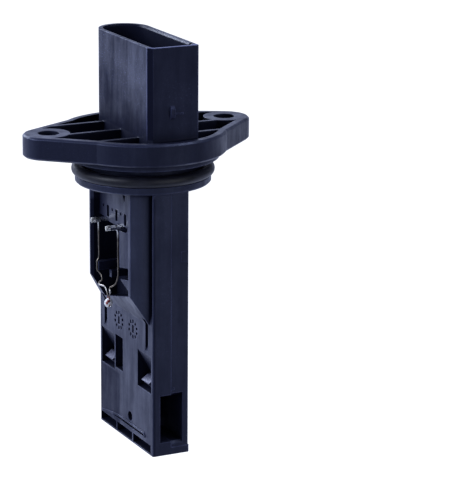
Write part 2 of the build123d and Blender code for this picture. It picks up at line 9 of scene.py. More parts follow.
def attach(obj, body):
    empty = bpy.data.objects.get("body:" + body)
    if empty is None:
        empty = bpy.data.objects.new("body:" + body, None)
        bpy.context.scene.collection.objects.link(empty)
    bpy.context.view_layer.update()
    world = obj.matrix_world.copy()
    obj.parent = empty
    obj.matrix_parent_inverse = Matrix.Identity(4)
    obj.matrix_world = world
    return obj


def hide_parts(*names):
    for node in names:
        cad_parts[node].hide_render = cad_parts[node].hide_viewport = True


# Looks of a plug-in mass airflow sensor, in metres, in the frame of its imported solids:
# +Z towards the plug, the air inlet on -Y, the temperature bead on -X.
MM = 0.001

# ---- camera ----
IMAGE_HEIGHT = 480
FOCAL_PIXELS = 2429.0
LENS_RISE = 0.0008
SENSOR_WIDTH = 36.0
CLIP_START = 0.01
CLIP_END = 20.0
CAMERA_POSITION = Vector((-0.262438, -0.568289, 0.143505))
CAMERA_FORWARD = Vector((0.43684, 0.8612, -0.25981))
CAMERA_UP = Vector((0.11024, 0.23539, 0.96563))

# ---- studio ----
FLOOR_Z = -0.26
SWEEP_FRONT = -0.30
SWEEP_BACK = 1.10
SWEEP_HALF = 1.9
SWEEP_TOP = 1.5
COVE = 0.35
COVE_STEPS = 12
WHITE = (1.0, 1.0, 1.0, 1.0)
COOL_WHITE = (0.64, 0.71, 1.0, 1.0)
PAPER = (0.30, 0.31, 0.34, 1.0)
PAPER_GLOW = 0.97
GLOSS_GLOW = 0.95
FLAG = (-0.40, 0.0, 0.05, 1.0)      # along X + Y: what gloss sees of the paper in front is dim
SURROUND = 0.16
AIM = (0, 0, -0.02)
COOL_LAMP = (0.78, 0.85, 1.0)
PALE_LAMP = (0.92, 0.94, 1.0)
LAMPS = (                           # name, position, width and height, watts, colour
    ("key", (-0.82, 0.08, 0.42), (0.6, 0.6), 7.6, COOL_LAMP),
    ("rim", (-0.26, 0.86, 0.44), (0.4, 0.3), 5.0, COOL_LAMP),
    ("overhead", (0.42, -0.25, 0.85), (0.35, 0.35), 2.8, COOL_LAMP),
    ("strip", (-0.49, -0.75, -0.23), (0.14, 0.5), 0.5, COOL_LAMP),
    ("front", (0.35, -0.95, 0.20), (0.7, 0.9), 2.6, PALE_LAMP),
)

# ---- seal ring ----
SEAL_R = 17.5 * MM
SEAL_SECTION_R = 1.5 * MM
SEAL_Z = -4.9 * MM
SEAL_STEPS = 160
SEAL_SIDES = 48
FLASH_SINK = 0.012
FLASH_SIDES = (1, 47)

# ---- temperature bead ----
TAB_TIP = -11.6 * MM
TAB_TOP = -19.55 * MM
TAB_UNDER = -20.15 * MM
HOOK_BACK = -10.5 * MM
HOOK_BEND = 0.25 * MM
WIRE_BEND = 0.9 * MM
BEND_STEPS = 6
BEND_SHARE = 0.48                   # most of a straight stretch that one bend takes
WIRE_R = 0.21 * MM
WIRE_SIDES = 16
WIRE_DRAWN = 0.8                    # thinner between weld and glass
WELD_SWELL = 0.7
WELD_REACH = 0.4 * MM
BEAD = Vector((-9.9, 0.6, -41.35)) * MM
BEAD_R = 1.16 * MM
BEAD_STEPS = 32
BEAD_SIDES = 48
NECK_SWELL = 0.34
NECK_RISE = 0.28
LEFT_WELD = (-10.2, 5.9, -37.5)     # this, the runs and the element are in millimetres
RIGHT_WELD = (-9.9, -0.75, -38.0)
LEFT_RUN = ((-9.7, 7.4, -20.37), (-9.7, 7.15, -30.5), (-10.32, 7.15, -31.15),
            (-10.32, 7.15, -33.85), (-9.6, 6.35, -34.5), (-9.5, 5.2, -36.1), (-10.2, 6.2, -36.9),
            (-10.2, 5.9, -37.5), (-9.9, 2.6, -37.2), (-9.9, 1.02, -39.2), (-9.9, 1.02, -40.4))
RIGHT_RUN = ((-8.9, -2.3, -20.37), (-8.4, -2.3, -20.9), (-8.35, -2.3, -33.2), (-8.6, -1.75, -35.2),
             (-9.1, -0.9, -36.3), (-9.9, 0.1, -36.9), (-9.9, -0.75, -38.0), (-9.9, 0.18, -39.2),
             (-9.9, 0.18, -40.4))
# Each lump of the element: its place from the bead's centre (right, up and out of the drop's
# face), then its half sizes.
ELEMENT = (((-0.14, 0.30, 0.98), (0.50, 0.66, 0.30)), ((0.28, -0.62, 0.92), (0.26, 0.32, 0.2)))
LUMP_LEAN = 0.45
LUMP_ROUGH = 0.35
LUMP_SCALE = 1.7
LUMP_SHIFT = 9
LUMP_SPLITS = 3

# ---- spans ----
# A span is where a mask starts and where it ends, and its values there if they aren't 0 and 1.
# Spans named FACE run over one component of the face's normal, the others over a coordinate.
# These spans paint light and shade on the moulding by place and facing: painted sheen, painted
# highlights and painted shade.
PROBE_FRONT = -5.1 * MM
FACE_BEAD = (-0.5, -0.8)            # X: faces on the bead's side

# plug shroud
SHROUD_FOOT = (6.1 * MM, 6.6 * MM)
# Painted sheen, a painted reflection, on the shroud's side: weaker low down and towards its rounded
# end.
SHROUD_RISE = (6.0 * MM, 30.0 * MM, 0.42, 1.15)
SHROUD_ALONG = (18.0 * MM, -16.0 * MM, 0.35, 1.15)
FACE_END = (-0.6, -0.95)            # Y: the shroud's flat end
# The long corner gets painted shade: a darker colour and no sheen.
FACE_CORNER = (-0.15, -0.35)        # Y: its long bevelled corner
# Painted sheen on the flat end, as a share.
END_PAINTED_SHEEN = 0.35
# Painted shade: less sheen in a patch low on the shroud's side.
SHADED_PATCH_ALONG = (-6.5 * MM, -2.0 * MM)
SHADED_PATCH_TOP = (27.5 * MM, 19.5 * MM)
SHADED_PATCH_FOOT = (6.5 * MM, 14.0 * MM, 0.0, 0.62)
# The inner walls get painted shade: a darker colour and their sheen down to 0.3.
FACE_INNER = (-0.3, -0.6)           # Y: the inner wall at its rounded end
INNER_X = (0.0, 1.0 * MM)
INNER_Y = (3.0 * MM, 4.0 * MM)
INNER_PAINTED_SHEEN = (0.0, 1.0, 1.0, 0.3)
# Where the shroud's long corner gets a painted highlight.
ARRIS_Y = (-16.25 * MM, -16.5 * MM)

# flange rim
RIM_FOOT = (0.0, 0.1 * MM)
RIM_HEAD = (5.6 * MM, 5.4 * MM)
# Painted shade on the flange's side: a darker colour and less sheen, at most 0.42.
FACE_RIM = (-0.45, -0.70, 0.0, 0.42)

# probe
BELOW_COLLAR = (-9.0 * MM, -9.5 * MM)
# Painted shade: less sheen towards the low end and low on the back of the wide face.
LOW_END = (-55.0 * MM, -68.0 * MM, 1.0, 0.86)
LOW_BACK_Z = (-62.0 * MM, -63.2 * MM)
LOW_BACK_Y = (3.6 * MM, 4.6 * MM)
LOW_BACK_FADE = 0.85
# Painted highlight: more sheen on the guard's curved side.
FACE_GUARD = (-0.5, -0.8)           # Y: the guard block's curved side
GUARD_X = (PROBE_FRONT, PROBE_FRONT - 0.2 * MM)
GUARD_PAINTED_HIGHLIGHT = (-9.5 * MM, -6.0 * MM, 0.2, 1.6)
GUARD_Y = (-10.0 * MM, -11.0 * MM)
# Painted shade on the pocket's far wall, the cells of the lower edge and the inlet side's edge: a
# darker colour and less sheen.
FACE_POCKET = (-0.35, -0.6)         # Y: the pocket's far wall
POCKET_Y = (8.5 * MM, 9.5 * MM)
POCKET_FOOT = (-41.0 * MM, -40.0 * MM)
POCKET_HEAD = (-14.5 * MM, -15.5 * MM)
CELL_X = (PROBE_FRONT + 0.4 * MM, PROBE_FRONT + 0.8 * MM)
CELL_Z = (-77.2 * MM, -77.4 * MM)
FACE_EDGE = (-0.6, -0.9)            # Y: the inlet side next to the wide face
EDGE_BACK = (PROBE_FRONT + 0.85 * MM, PROBE_FRONT + 0.45 * MM, 0.0, 0.8)
EDGE_FRONT = (PROBE_FRONT - 0.2 * MM, PROBE_FRONT - 0.05 * MM)
# Painted shade: a little less sheen on the inlet side.
FACE_INLET = (-0.9, -0.97, 0.0, 0.15)
NOSE_X = (-2.0 * MM, -2.3 * MM)     # only the snap hooks of the cover reach further forward
# How far painted shade darkens the moulding's colour.
PAINTED_SHADE_TONE = (0.0, 1.0, 1.0, 0.15)

# ---- all looks ----
MID_SPAN = (0.3, 0.7)               # most of a noise's range
EDGE_SPAN = (0.995, 0.85)           # how far a rounded normal turns from the face's own
EDGE_SAMPLES = 6
OPEN_SAMPLES = 8
CLOUDED = (0.8, 1.2)                # gains of a cloudy colour where it is darkest and palest

# ---- moulded plastic ----
# The last column paints a speckled highlight on the snap hook noses.
MOULDED_LOOKS = (                   # slot, colour, roughness, specks, pale noses
    ("housing_plastic", (0.0135, 0.0155, 0.034), 0.42, 0.5, False),
    ("cover_plastic", (0.0125, 0.014, 0.031), 0.45, 0.3, True),
)
# Painted highlight on the snap hook noses.
NOSE_PAINTED_HIGHLIGHT = (0.125, 0.125, 0.19, 1.0)
SHEEN_TINT = (0.6, 0.68, 1.0, 1.0)
CLOUD = (90.0, 4.0, 0.6)            # noise: scale, detail, roughness
FLOW = (1.0, 4.0, 0.65)
FLOW_STRETCH = (420.0, 420.0, 60.0)
GRAIN = (5200.0, 2.0, 0.6)
FLECK = (2300.0, 2.0, 0.7)
MOULD_EDGE = 0.35 * MM
# Walls within this reach paint shade into pockets and corners.
MOULD_REACH = 14.0 * MM
MOULD_RELIEF = 0.06 * MM
CLOUD_SPAN = (0.32, 0.68)
CLOUD_SHARE = 0.5
FLOW_SHARE = 0.5
FLECK_SPAN = (0.60, 0.68)
FLECK_CLOUD = (0.42, 0.6)
FLECK_OFF_FLANK = (0.0, 1.0, 0.12, 1.0)
FLECK_GAIN = 15.0
NOSE_FLECK = (0.42, 0.58, 0.35, 1.0)
# Edges paler from wear and painted highlight; the shroud's long corner gets an extra painted
# highlight.
ARRIS_HIGHLIGHT_GAIN = 3.0
WEAR_AND_HIGHLIGHT_FLOW = (0.3, 0.7, 0.2, 0.8)
WEAR_AND_HIGHLIGHT_GAIN = 7.0
# Painted shade in pockets and corners: a darker colour and less sheen.
OPEN_PAINTED_SHADE = (0.35, 0.9)
POCKET_PAINTED_SHADE = 0.5
OPEN_PAINTED_SHEEN = (0.3, 0.9, 0.12, 1.0)
BLEND_SPAN = (0.2, 0.8)
BLEND_ROUGH = (0.12, -0.08)         # added to the roughness at the span's two ends
GRAIN_ROUGH = (0.3, 0.7, -0.03, 0.03)
FLOW_RELIEF = 0.8
RELIEF = 0.25
SHEEN = 0.48
SWING_SPAN = (0.25, 0.75, -1.0, 1.0)
SWING_FLANK = (0.0, 1.0, 0.07, 0.26)

# ---- rubber ----
RUBBER = (0.0065, 0.0070, 0.0135)
RUBBER_TONES = (0.7, 2.0)
RUBBER_BLOOM = (260.0, 4.0, 0.65)
RUBBER_GRAIN = 4000.0
BLOOM_SPAN = (0.35, 0.75)
BLOOM_ROUGH = (0.3, 0.7, 0.38, 0.56)
RUBBER_SPEC = 0.36

# ---- metal ----
METAL_LOOKS = (                     # slot, colour, roughness
    ("pin_metal", (0.74, 0.72, 0.68), 0.26),
    ("terminal_metal", (0.86, 0.85, 0.82), 0.2),
)
DRAWN = (9000.0, 9000.0, 400.0)
DRAWN_RELIEF = (0.15, 0.02 * MM)    # bump: strength, distance
STAIN = (500.0, 4.0, 0.6)
STAIN_SPAN = (0.4, 0.75)
STAIN_TONES = (1.0, 0.55)
METAL_EDGE = 0.08 * MM
METAL_WEAR = 0.4
METAL_BRIGHT = 1.25
METAL_ROUGH = (-0.08, 0.14)         # added to the roughness at the ends of the lines' range

# ---- bead wires ----
ENAMEL_Z = (-39.3 * MM, -39.7 * MM)
ENAMEL = (0.22, 0.045, 0.03, 1.0)
WELD_Z = -37.75 * MM
WELD_TIN = (0.7 * MM, 0.35 * MM, 0.0, 0.4)
HOOK_TIN = (TAB_UNDER - 3.0 * MM, TAB_UNDER - 0.8 * MM)
# Painted glint: the hook over the tab's tip is nearly non-metallic, so it shows white.
HOOK_PAINTED_GLINT = (TAB_UNDER - 0.6 * MM, TAB_UNDER - 0.2 * MM, 1.0, 0.1)
TINNED = (0.95, 0.95, 0.93, 1.0)
BARE = (0.26, 0.23, 0.19, 1.0)
TARNISHED = (0.10, 0.085, 0.07, 1.0)
TARNISH = (700.0, 4.0, 0.65)
TARNISH_SPAN = (0.35, 0.7)
WIRE_ROUGH = (0.3, 0.7, 0.25, 0.45)

# ---- glass and element ----
CLEAR_GLASS = (0.98, 0.97, 0.97, 1.0)
MILKY_GLASS = (0.92, 0.92, 0.95, 1.0)
GLASS_WAVE = 900.0
GLASS_HAZE = (2600.0, 3.0)
HAZE_SPAN = (0.4, 0.8)
HAZE_ROUGH = (0.3, 0.7, 0.02, 0.09)
HAZE_CLEAR = (0.3, 0.7, 0.2, 0.1)
GLASS_IOR = 1.5
RED = (0.30, 0.012, 0.010, 1.0)
DEEP_RED = (0.14, 0.008, 0.008, 1.0)
OLIVE = (0.035, 0.03, 0.006, 1.0)
ELEMENT_CLOUD = (1800.0, 3.0, 0.6)
ELEMENT_SPAN = (0.35, 0.65)
ELEMENT_ROUGH = (0.3, 0.7, 0.2, 0.4)
OLIVE_Z = (BEAD.z - 0.2 * MM, BEAD.z - 0.35 * MM)

# ---- board, adhesive and components ----
PLAIN_CLOUD = (280.0, 3.0, 0.6)
PLAIN_GRAIN = 4200.0
PLAIN_EDGE = 0.1 * MM
PLAIN_WEAR = 0.3
PLAIN_BRIGHT = 1.8
PLAIN_ROUGH = (-0.06, 0.08)
FINE_RELIEF = (0.2, 0.04 * MM)      # bump: strength, distance
PLAIN_LOOKS = (                     # slot, colour, roughness
    ("board_laminate", (0.01, 0.11, 0.04), 0.35),
    ("adhesive", (0.07, 0.07, 0.075), 0.4),
    ("carrier_ceramic", (0.7, 0.69, 0.65), 0.6),
    ("chip_black", (0.018, 0.018, 0.02), 0.5),
    ("bond_gel", (0.02, 0.02, 0.024), 0.15),
    ("capacitor_body", (0.36, 0.25, 0.15), 0.45),
)


# ---- node helpers ----
def fill(node, **values):
    """Sets input sockets by name; an underscore stands for a space."""
    for name, value in values.items():
        node.inputs[name.replace("_", " ")].default_value = value


class Graph:
    """Small helper round one node tree."""

    def __init__(self, tree):
        self.tree = tree
        tree.nodes.clear()

    def node(self, kind, **settings):
        """New node with its properties set."""
        made = self.tree.nodes.new(kind)
        for key, value in settings.items():
            setattr(made, key, value)
        return made

    def link(self, source, target):
        """Joins an output to an input."""
        self.tree.links.new(source, target)

    def coords(self):
        """Place on the object, in metres."""
        return self.node("ShaderNodeTexCoord").outputs["Object"]

    def normal(self):
        """The face's own normal."""
        return self.node("ShaderNodeNewGeometry").outputs["Normal"]

    def split(self, vector):
        """X, Y and Z of a vector."""
        made = self.node("ShaderNodeSeparateXYZ")
        self.link(vector, made.inputs[0])
        return made.outputs["X"], made.outputs["Y"], made.outputs["Z"]

    def stretched(self, vector, scale):
        """Coordinates scaled separately along X, Y and Z."""
        made = self.node("ShaderNodeMapping")
        fill(made, Scale=scale)
        self.link(vector, made.inputs["Vector"])
        return made.outputs["Vector"]

    def noise(self, vector, scale, detail=2.0, rough=0.5):
        """Soft noise, about 0.5 on average."""
        made = self.node("ShaderNodeTexNoise")
        fill(made, Scale=scale, Detail=detail, Roughness=rough)
        self.link(vector, made.inputs["Vector"])
        return made.outputs["Fac"]

    def ramp(self, value, low, high, to_low=0.0, to_high=1.0):
        """Maps low..high to to_low..to_high, clamped."""
        made = self.node("ShaderNodeMapRange")
        fill(made, From_Min=low, From_Max=high, To_Min=to_low, To_Max=to_high)
        self.link(value, made.inputs["Value"])
        return made.outputs["Result"]

    def math(self, operation, a, b):
        """One operation on two sockets or numbers."""
        made = self.node("ShaderNodeMath", operation=operation)
        for socket, value in zip(made.inputs, (a, b)):
            if isinstance(value, (int, float)):
                socket.default_value = value
            else:
                self.link(value, socket)
        return made.outputs[0]

    def chain(self, operation, first, others):
        """The same operation over any number of values."""
        for other in others:
            first = self.math(operation, first, other)
        return first

    def product(self, first, *others):
        return self.chain("MULTIPLY", first, others)

    def sum(self, first, *others):
        return self.chain("ADD", first, others)

    def largest(self, first, *others):
        return self.chain("MAXIMUM", first, others)

    def rest(self, value):
        """1 less the value."""
        return self.math("SUBTRACT", 1.0, value)

    def mix(self, factor, a, b):
        """Colour mix."""
        made = self.node("ShaderNodeMix", data_type="RGBA")
        for name, value in (("Factor", factor), ("A", a), ("B", b)):
            socket = [s for s in made.inputs if s.name == name and s.enabled][0]
            if isinstance(value, (int, float, tuple)):
                socket.default_value = value
            else:
                self.link(value, socket)
        return [s for s in made.outputs if s.enabled][0]

    def bump(self, height, strength, distance, normal=None):
        """Normal with fine relief that is no shape of its own."""
        made = self.node("ShaderNodeBump")
        fill(made, Strength=strength, Distance=distance)
        self.link(height, made.inputs["Height"])
        if normal is not None:
            self.link(normal, made.inputs["Normal"])
        return made.outputs["Normal"]

    def openness(self, reach):
        """1 on open faces, towards 0 in pockets and corners that walls within reach enclose; the
        moulding paints shade with it.
        """
        made = self.node("ShaderNodeAmbientOcclusion", samples=OPEN_SAMPLES, only_local=True)
        fill(made, Distance=reach)
        return made.outputs["AO"]

    def edges(self, radius):
        """(rounded normal, mask that is 1 on outer and inner edges)."""
        bevel = self.node("ShaderNodeBevel", samples=EDGE_SAMPLES)
        fill(bevel, Radius=radius)
        dot = self.node("ShaderNodeVectorMath", operation="DOT_PRODUCT")
        self.link(bevel.outputs["Normal"], dot.inputs[0])
        self.link(self.normal(), dot.inputs[1])
        return bevel.outputs["Normal"], self.ramp(dot.outputs["Value"], *EDGE_SPAN)

    def surface(self, shader):
        """Links a shader's only output to a new material output."""
        output = self.node("ShaderNodeOutputMaterial")
        self.link(shader.outputs[0], output.inputs["Surface"])


def material(name, kind="ShaderNodeBsdfPrincipled"):
    """New node material: (material, graph, shader)."""
    made = bpy.data.materials.new(name)
    made.use_nodes = True
    graph = Graph(made.node_tree)
    shader = graph.node(kind)
    graph.surface(shader)
    return made, graph, shader


def tone(colour, gain):
    """A colour, lighter or darker."""
    return tuple(min(1.0, c * gain) for c in colour) + (1.0,)


def tones(colour, gains):
    """A colour in two tones, to mix between."""
    return [tone(colour, gain) for gain in gains]


def added(rough, steps):
    """A roughness with each of two steps added, as the end values of a span."""
    return [rough + step for step in steps]


# ---- materials ----
def shroud_painted_light(g, place, to_bead, facing):
    """(painted sheen, painted shade of the corner and inner walls, side) of the plug shroud.

    Painted sheen, a painted reflection, fades down the shroud and towards its rounded end, in a
    painted shaded patch low on its side, and on its long corner. The inner walls and the long
    corner get painted shade.
    """
    x, y, z = place
    end = g.ramp(facing, *FACE_END)
    corner = g.product(g.ramp(facing, *FACE_CORNER), g.rest(end))
    shaded_patch = g.product(g.ramp(y, *SHADED_PATCH_ALONG), g.ramp(z, *SHADED_PATCH_TOP), g.ramp(z, *SHADED_PATCH_FOOT))
    side = g.product(g.ramp(z, *SHROUD_RISE), g.ramp(y, *SHROUD_ALONG), g.rest(g.sum(end, corner)),
                     g.rest(shaded_patch))
    inner = g.sum(g.product(to_bead, g.ramp(x, *INNER_X)),
                  g.product(g.ramp(facing, *FACE_INNER), g.ramp(y, *INNER_Y)))
    inner = g.math("MINIMUM", inner, 1.0)
    painted_sheen = g.product(g.sum(side, g.product(end, END_PAINTED_SHEEN)), g.ramp(inner, *INNER_PAINTED_SHEEN))
    painted_shade = g.largest(corner, inner)
    return painted_sheen, painted_shade, g.rest(g.largest(end, painted_shade))


def probe_painted_light(g, place, to_bead, facing):
    """(painted sheen, painted shade of walls) of everything below the shroud.

    Painted sheen fades towards the low end and behind the latches, a painted shade, and grows on
    the guard's curved side, a painted highlight. The pocket's far wall, the cells of the lower
    edge, the edge of the inlet side and the side of the flange get painted shade.
    """
    x, y, z = place
    below = g.ramp(z, *BELOW_COLLAR)
    low_back = g.product(g.ramp(z, *LOW_BACK_Z), g.ramp(y, *LOW_BACK_Y), to_bead, LOW_BACK_FADE)
    guard = g.product(g.ramp(facing, *FACE_GUARD), below, g.ramp(x, *GUARD_X),
                      g.ramp(x, *GUARD_PAINTED_HIGHLIGHT), g.ramp(y, *GUARD_Y))
    pocket = g.product(g.ramp(facing, *FACE_POCKET), g.ramp(y, *POCKET_Y), g.ramp(z, *POCKET_FOOT),
                       g.ramp(z, *POCKET_HEAD))
    cells = g.product(to_bead, g.ramp(x, *CELL_X), g.ramp(z, *CELL_Z))
    edge = g.product(g.ramp(facing, *FACE_EDGE), g.ramp(x, *EDGE_BACK), g.ramp(x, *EDGE_FRONT),
                     below)
    rim = g.product(g.ramp(z, *RIM_FOOT), g.ramp(z, *RIM_HEAD), g.ramp(facing, *FACE_RIM))
    painted_shade = g.largest(pocket, cells, edge, rim)
    inlet = g.product(g.ramp(facing, *FACE_INLET), below)
    painted_sheen = g.product(g.rest(low_back), g.ramp(z, *LOW_END), g.sum(guard, 1.0),
                      g.rest(g.largest(painted_shade, inlet)))
    return painted_sheen, painted_shade


def painted_light_by_place(g, vector):
    """(painted sheen, tone of painted shade, shroud side, painted arris highlight) over the
    moulding, by place.
    """
    place = g.split(vector)
    _, y, z = place
    normal_x, facing, _ = g.split(g.normal())
    to_bead = g.ramp(normal_x, *FACE_BEAD)
    on_shroud = g.ramp(z, *SHROUD_FOOT)
    off_shroud = g.rest(on_shroud)
    shroud, corners, side = shroud_painted_light(g, place, to_bead, facing)
    probe, walls = probe_painted_light(g, place, to_bead, facing)
    painted_sheen = g.sum(g.product(on_shroud, shroud), g.product(off_shroud, probe))
    painted_shade = g.sum(g.product(on_shroud, corners), g.product(off_shroud, walls))
    flank = g.product(on_shroud, side)
    return painted_sheen, g.ramp(painted_shade, *PAINTED_SHADE_TONE), flank, g.product(flank, g.ramp(y, *ARRIS_Y))


def moulded(name, colour, rough, specks, noses):
    """Moulded filled plastic: flow streaks along Z, fine grain, pale specks, edges paler from wear
    and painted highlight, painted sheen and painted shade by place and in pockets.

    noses paints a speckled highlight on the snap hooks, which alone stand in front of NOSE_X.
    """
    made, g, shader = material(name)
    vector = g.coords()
    cloud = g.noise(vector, *CLOUD)
    flow = g.noise(g.stretched(vector, FLOW_STRETCH), *FLOW)
    grain = g.noise(vector, *GRAIN)
    fleck = g.noise(vector, *FLECK)
    normal, edge = g.edges(MOULD_EDGE)
    # The second value is the tone of painted shade by place; the last marks a painted highlight on
    # the shroud's long corner.
    painted_sheen, place, flank, arris_highlight = painted_light_by_place(g, vector)
    # Painted shade in pockets and corners comes from this.
    clear = g.openness(MOULD_REACH)
    blend = g.sum(g.product(g.ramp(cloud, *CLOUD_SPAN), CLOUD_SHARE),
                  g.product(g.ramp(flow, *MID_SPAN), FLOW_SHARE))
    body = g.mix(blend, *tones(colour, CLOUDED))
    flecks = g.product(g.ramp(fleck, *FLECK_SPAN), g.ramp(cloud, *FLECK_CLOUD, 0.0, specks),
                       g.ramp(flank, *FLECK_OFF_FLANK))
    flecked = g.mix(flecks, body, tone(colour, FLECK_GAIN))
    # Paler edges: wear and painted highlight.
    wear_and_highlight = g.product(g.largest(edge, g.product(arris_highlight, ARRIS_HIGHLIGHT_GAIN)), g.ramp(flow, *WEAR_AND_HIGHLIGHT_FLOW))
    worn_and_highlit = g.mix(wear_and_highlight, flecked, tone(colour, WEAR_AND_HIGHLIGHT_GAIN))
    # Painted highlight on the snap hook noses.
    if noses:
        nose = g.product(g.ramp(g.split(vector)[0], *NOSE_X), g.ramp(fleck, *NOSE_FLECK))
        worn_and_highlit = g.mix(nose, worn_and_highlit, NOSE_PAINTED_HIGHLIGHT)
    # Painted shade: the colour darkens in pockets, corners and by place.
    lit = g.product(g.ramp(clear, *OPEN_PAINTED_SHADE), place)
    g.link(g.mix(lit, tone(colour, POCKET_PAINTED_SHADE), worn_and_highlit), shader.inputs["Base Color"])
    spread = g.sum(g.ramp(blend, *BLEND_SPAN, *added(rough, BLEND_ROUGH)),
                   g.ramp(grain, *GRAIN_ROUGH))
    g.link(spread, shader.inputs["Roughness"])
    height = g.sum(grain, g.product(flow, FLOW_RELIEF))
    g.link(g.bump(height, RELIEF, MOULD_RELIEF, normal), shader.inputs["Normal"])
    swing = g.product(g.ramp(blend, *SWING_SPAN), g.ramp(flank, *SWING_FLANK))
    # The specular level carries painted sheen and painted shade by place and in pockets.
    level = g.product(g.sum(swing, SHEEN), painted_sheen, g.ramp(clear, *OPEN_PAINTED_SHEEN))
    g.link(level, shader.inputs["Specular IOR Level"])
    fill(shader, Specular_Tint=SHEEN_TINT)
    return made


def rubber(name):
    """Smooth black rubber with a faint bloom."""
    made, g, shader = material(name)
    vector = g.coords()
    bloom = g.noise(vector, *RUBBER_BLOOM)
    grain = g.noise(vector, RUBBER_GRAIN)
    g.link(g.mix(g.ramp(bloom, *BLOOM_SPAN), *tones(RUBBER, RUBBER_TONES)),
           shader.inputs["Base Color"])
    g.link(g.ramp(bloom, *BLOOM_ROUGH), shader.inputs["Roughness"])
    g.link(g.bump(grain, *FINE_RELIEF), shader.inputs["Normal"])
    fill(shader, Specular_IOR_Level=RUBBER_SPEC)
    return made


def metal(name, colour, rough):
    """Tinned metal with fine drawing lines and a slight stain."""
    made, g, shader = material(name)
    vector = g.coords()
    lines = g.noise(g.stretched(vector, DRAWN), 1.0)
    stain = g.noise(vector, *STAIN)
    normal, edge = g.edges(METAL_EDGE)
    body = g.mix(g.ramp(stain, *STAIN_SPAN), *tones(colour, STAIN_TONES))
    g.link(g.mix(g.product(edge, METAL_WEAR), body, tone(colour, METAL_BRIGHT)),
           shader.inputs["Base Color"])
    g.link(g.ramp(lines, *MID_SPAN, *added(rough, METAL_ROUGH)), shader.inputs["Roughness"])
    g.link(g.bump(lines, *DRAWN_RELIEF, normal), shader.inputs["Normal"])
    fill(shader, Metallic=1.0)
    return made


def bead_lead(name):
    """Drawn wire: tinned at hook and weld, tarnished between, dull red enamel next to the glass;
    its hook shows white as a painted glint.
    """
    made, g, shader = material(name)
    vector = g.coords()
    z = g.split(vector)[2]
    coated = g.ramp(z, *ENAMEL_Z)
    off_weld = g.math("ABSOLUTE", g.math("SUBTRACT", z, WELD_Z), 0.0)
    tinned = g.largest(g.ramp(z, *HOOK_TIN), g.ramp(off_weld, *WELD_TIN))
    stain = g.noise(vector, *TARNISH)
    lines = g.noise(g.stretched(vector, DRAWN), 1.0)
    bright = g.mix(tinned, g.mix(g.ramp(stain, *TARNISH_SPAN), BARE, TARNISHED), TINNED)
    g.link(g.mix(coated, bright, ENAMEL), shader.inputs["Base Color"])
    g.link(g.ramp(lines, *WIRE_ROUGH), shader.inputs["Roughness"])
    g.link(g.bump(lines, *DRAWN_RELIEF), shader.inputs["Normal"])
    # Painted glint: metallic drops low on the hook, so its tinned colour shows white.
    g.link(g.product(g.rest(coated), g.ramp(z, *HOOK_PAINTED_GLINT)), shader.inputs["Metallic"])
    return made


def fused_glass(name):
    """Fused glass, a little milky and slightly wavy."""
    made, g, shader = material(name)
    vector = g.coords()
    wave = g.noise(vector, GLASS_WAVE)
    haze = g.noise(vector, *GLASS_HAZE)
    g.link(g.mix(g.ramp(haze, *HAZE_SPAN), CLEAR_GLASS, MILKY_GLASS), shader.inputs["Base Color"])
    g.link(g.ramp(haze, *HAZE_ROUGH), shader.inputs["Roughness"])
    g.link(g.ramp(haze, *HAZE_CLEAR), shader.inputs["Transmission Weight"])
    g.link(g.bump(wave, RELIEF, MOULD_RELIEF), shader.inputs["Normal"])
    fill(shader, IOR=GLASS_IOR)
    return made


def sensing_element(name):
    """Dark red element, olive black where it ends low in the drop."""
    made, g, shader = material(name)
    vector = g.coords()
    z = g.split(vector)[2]
    cloud = g.noise(vector, *ELEMENT_CLOUD)
    red = g.mix(g.ramp(cloud, *ELEMENT_SPAN), RED, DEEP_RED)
    g.link(g.mix(g.ramp(z, *OLIVE_Z), red, OLIVE), shader.inputs["Base Color"])
    g.link(g.ramp(cloud, *ELEMENT_ROUGH), shader.inputs["Roughness"])
    g.link(g.bump(cloud, *FINE_RELIEF), shader.inputs["Normal"])
    return made


def plain(name, colour, rough):
    """Board, ceramic, adhesive and component bodies: cloudy colour and a fine grain."""
    made, g, shader = material(name)
    vector = g.coords()
    cloud = g.noise(vector, *PLAIN_CLOUD)
    grain = g.noise(vector, PLAIN_GRAIN)
    normal, edge = g.edges(PLAIN_EDGE)
    body = g.mix(g.ramp(cloud, *MID_SPAN), *tones(colour, CLOUDED))
    g.link(g.mix(g.product(edge, PLAIN_WEAR), body, tone(colour, PLAIN_BRIGHT)),
           shader.inputs["Base Color"])
    g.link(g.ramp(grain, *MID_SPAN, *added(rough, PLAIN_ROUGH)), shader.inputs["Roughness"])
    g.link(g.bump(grain, *FINE_RELIEF, normal), shader.inputs["Normal"])
    return made


def all_materials():
    """Every look, by the name of its slot."""
    looks = {
        "seal_rubber": rubber("seal_rubber"),
        "wire_metal": bead_lead("wire_metal"),
        "bead_glass": fused_glass("bead_glass"),
        "bead_core": sensing_element("bead_core"),
    }
    for make, rows in ((moulded, MOULDED_LOOKS), (metal, METAL_LOOKS), (plain, PLAIN_LOOKS)):
        for row in rows:
            looks[row[0]] = make(*row)
    return looks


def dress_nodes(frame, looks):
    """Every carried-over solid gets the look of its own slot."""
    slots = {row["node"]: row["material_slot"] for row in frame["record"]["subparts"]}
    for name, obj in frame["nodes"].items():
        look = looks[slots[name]]
        if not obj.material_slots:
            obj.data.materials.append(look)
        for entry in obj.material_slots:
            entry.material = look


